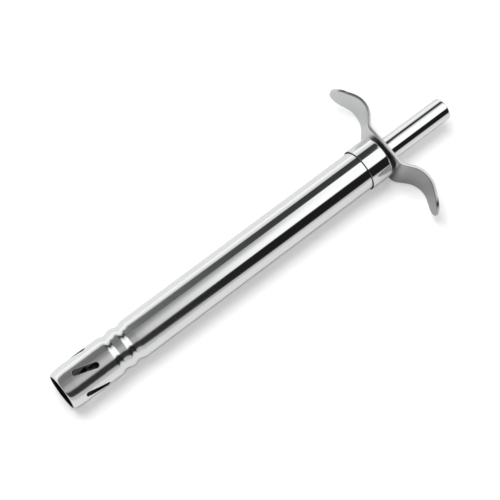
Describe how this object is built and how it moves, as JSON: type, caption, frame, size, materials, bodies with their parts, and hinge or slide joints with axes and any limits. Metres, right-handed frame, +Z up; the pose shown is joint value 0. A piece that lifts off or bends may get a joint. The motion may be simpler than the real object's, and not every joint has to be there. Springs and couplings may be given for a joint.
{
  "type": "piezo gas lighter",
  "caption": "Steel piezo gas lighter: slotted nozzle tube, rolled grooves, end collar, curved finger plate and sprung push rod over a hammer and piezo spark unit.",
  "frame": {"origin": "centre of the footprint, on the surface that the lower edge of the finger plate stands on", "axes": "+X along the tube from the nozzle's mouth to the push rod's free end, +Y across the finger plate, +Z up"},
  "size_m": [0.2146, 0.0746, 0.0219],
  "materials": {
    "tube_steel": "polished stainless steel",
    "collar_steel": "polished stainless steel",
    "rod_steel": "mirror polished",
    "plate_steel": "satin, with polished edges",
    "turned_steel": "turned",
    "hard_steel": "hardened, dark",
    "spring_steel": "drawn wire",
    "brass": "pressed",
    "copper": "drawn wire",
    "insulator": "dark brown, glazed",
    "piezo": "fired, matt",
    "barrel_plastic": "moulded, black",
    "liner_plastic": "extruded, natural white",
    "plunger_plastic": "moulded, orange",
    "sleeve_rubber": "silicone, red brown",
    "washer_rubber": "black"
  },
  "bodies": {
    "housing": {"body_tube": "tube_steel", "end_collar": "collar_steel", "finger_plate": "plate_steel", "spacer_washer": "hard_steel", "guide_bush": "turned_steel", "buffer_washer": "washer_rubber", "insulator_plug": "insulator", "spark_electrode": "turned_steel", "lead_core": "copper", "lead_sleeve": "sleeve_rubber", "liner_tube": "liner_plastic", "igniter_barrel": "barrel_plastic", "front_contact": "brass", "piezo_front": "piezo", "piezo_disc": "brass", "piezo_rear": "piezo", "anvil": "hard_steel", "ground_pin": "brass", "latch_spring": "spring_steel", "return_spring": "spring_steel"},
    "button": {"push_rod": "rod_steel", "plunger": "plunger_plastic", "rod_pin": "turned_steel"},
    "striker": {"hammer": "hard_steel", "cross_pin": "turned_steel", "hammer_spring": "spring_steel"}
  },
  "joints": [
    {"name": "button_press", "type": "slide", "parent": "housing", "child": "button", "axis": [-1, 0, 0], "range_m": [0, 0.012], "stiffness_N_per_m": 900, "springref_m": -0.008, "deforming": ["return_spring", "latch_spring", "hammer_spring"]},
    {"name": "hammer_strike", "type": "slide", "parent": "housing", "child": "striker", "axis": [-1, 0, 0], "range_m": [0, 0.009], "stiffness_N_per_m": 500, "springref_m": -0.004, "deforming": ["latch_spring", "hammer_spring"]}
  ]
}
